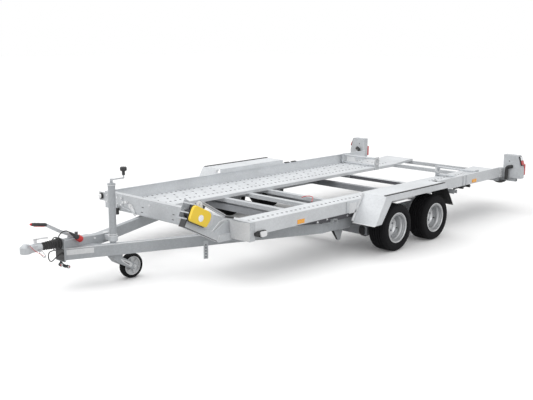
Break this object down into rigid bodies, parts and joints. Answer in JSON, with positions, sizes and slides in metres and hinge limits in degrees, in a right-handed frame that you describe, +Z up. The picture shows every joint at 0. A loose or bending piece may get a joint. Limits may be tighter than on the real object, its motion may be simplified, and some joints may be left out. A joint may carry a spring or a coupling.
{
  "type": "car hauler trailer",
  "caption": "Low galvanised tandem-axle car transporter trailer with an open tilting bed, perforated wheel tracks, V drawbar, jockey wheel and winch.",
  "frame": {"origin": "middle of the base on the floor under the trailer's overall length and width", "axes": "+X forward to the tow coupling, +Y to the side of the winch, +Z up"},
  "size_m": [5.9, 2.48, 0.938],
  "materials": {
    "galvanised": "hot-dip galvanised, satin",
    "black_plastic": "satin",
    "winch_cover_yellow": "gloss",
    "red_plastic": "gloss",
    "amber_lens": "gloss",
    "lamp_lens": "clear",
    "tyre": "matt",
    "black_rubber": "matt",
    "rim_silver": "silver",
    "dark_steel": "satin black"
  },
  "bodies": {
    "chassis": {"axle_front": "galvanised", "axle_rear": "galvanised", "bellows": "black_rubber", "breakaway_cable": "red_plastic", "cable": "black_rubber", "centre_beam": "galvanised", "chassis_cross_tubes": "galvanised", "chassis_rail_left": "galvanised", "chassis_rail_right": "galvanised", "coupling_handle": "dark_steel", "coupling_head": "galvanised", "damper_bracket": "galvanised", "draw_tube": "dark_steel", "handbrake_grip": "black_plastic", "handbrake_lever": "galvanised", "hanging_strap": "galvanised", "hinge_pins": "galvanised", "jockey_clamp": "galvanised", "jockey_crank": "galvanised", "jockey_knob": "black_plastic", "jockey_tube": "galvanised", "overrun_housing": "galvanised", "plug": "black_plastic", "snap_hook": "rim_silver"},
    "bed": {"bed_hinge": "galvanised", "cross_members": "galvanised", "fender_left": "galvanised", "fender_right": "galvanised", "front_beam": "galvanised", "lamp_boxes": "galvanised", "lamp_carrier": "galvanised", "marker_lamps": "lamp_lens", "mud_flaps": "black_rubber", "rear_beam": "galvanised", "side_reflectors": "amber_lens", "tail_lamps": "red_plastic", "track_left": "galvanised", "track_right": "galvanised", "wheel_stops": "galvanised", "winch_cover": "winch_cover_yellow", "winch_crank": "galvanised", "winch_frame": "galvanised", "winch_grip": "black_plastic", "winch_stand": "galvanised", "winch_stand_cap": "black_plastic"},
    "damper_body": {"damper_body": "black_plastic"},
    "damper_rod": {"damper_rod": "rim_silver"},
    "jockey_stem": {"jockey_stem": "galvanised"},
    "jockey_fork": {"jockey_fork": "galvanised"},
    "jockey_wheel": {"jockey_rim": "rim_silver", "jockey_tyre": "tyre"},
    "wheel_front_left": {"rim_front_left": "rim_silver", "tyre_front_left": "tyre"},
    "wheel_front_right": {"rim_front_right": "rim_silver", "tyre_front_right": "tyre"},
    "wheel_rear_left": {"rim_rear_left": "rim_silver", "tyre_rear_left": "tyre"},
    "wheel_rear_right": {"rim_rear_right": "rim_silver", "tyre_rear_right": "tyre"}
  },
  "joints": [
    {"name": "bed_tilt", "type": "hinge", "parent": "chassis", "child": "bed", "pos_m": [-1.482, 0, 0.3], "axis": [0, -1, 0], "range_deg": [0, 9]},
    {"name": "damper_swing", "type": "hinge", "parent": "chassis", "child": "damper_body", "pos_m": [0.132, 0.8, 0.125], "axis": [0, -1, 0], "range_deg": [0, 22.42]},
    {"name": "damper_slide", "type": "slide", "parent": "damper_body", "child": "damper_rod", "axis": [0.6276, 0, 0.7785], "range_m": [0, 0.2394]},
    {"name": "wheel_front_left_spin", "type": "hinge", "parent": "chassis", "child": "wheel_front_left", "pos_m": [-0.2635, 1.118, 0.2245], "axis": [0, 1, 0], "continuous": true},
    {"name": "wheel_front_right_spin", "type": "hinge", "parent": "chassis", "child": "wheel_front_right", "pos_m": [-0.2635, -1.118, 0.2245], "axis": [0, 1, 0], "continuous": true},
    {"name": "wheel_rear_left_spin", "type": "hinge", "parent": "chassis", "child": "wheel_rear_left", "pos_m": [-0.9005, 1.118, 0.2245], "axis": [0, 1, 0], "continuous": true},
    {"name": "wheel_rear_right_spin", "type": "hinge", "parent": "chassis", "child": "wheel_rear_right", "pos_m": [-0.9005, -1.118, 0.2245], "axis": [0, 1, 0], "continuous": true},
    {"name": "jockey_height", "type": "slide", "parent": "chassis", "child": "jockey_stem", "axis": [0, 0, 1], "range_m": [-0.15, 0]},
    {"name": "jockey_swivel", "type": "hinge", "parent": "jockey_stem", "child": "jockey_fork", "pos_m": [2.187, 0.125, 0.105], "axis": [0, 0, 1], "continuous": true},
    {"name": "jockey_wheel_spin", "type": "hinge", "parent": "jockey_fork", "child": "jockey_wheel", "pos_m": [2.015, 0.125, 0.105], "axis": [0, 1, 0], "continuous": true}
  ],
  "couplings": [
    {"joint": "damper_swing", "follows": "bed_tilt", "ratio": 2.4582},
    {"joint": "damper_slide", "follows": "bed_tilt", "m_per_rad": 1.5176}
  ]
}
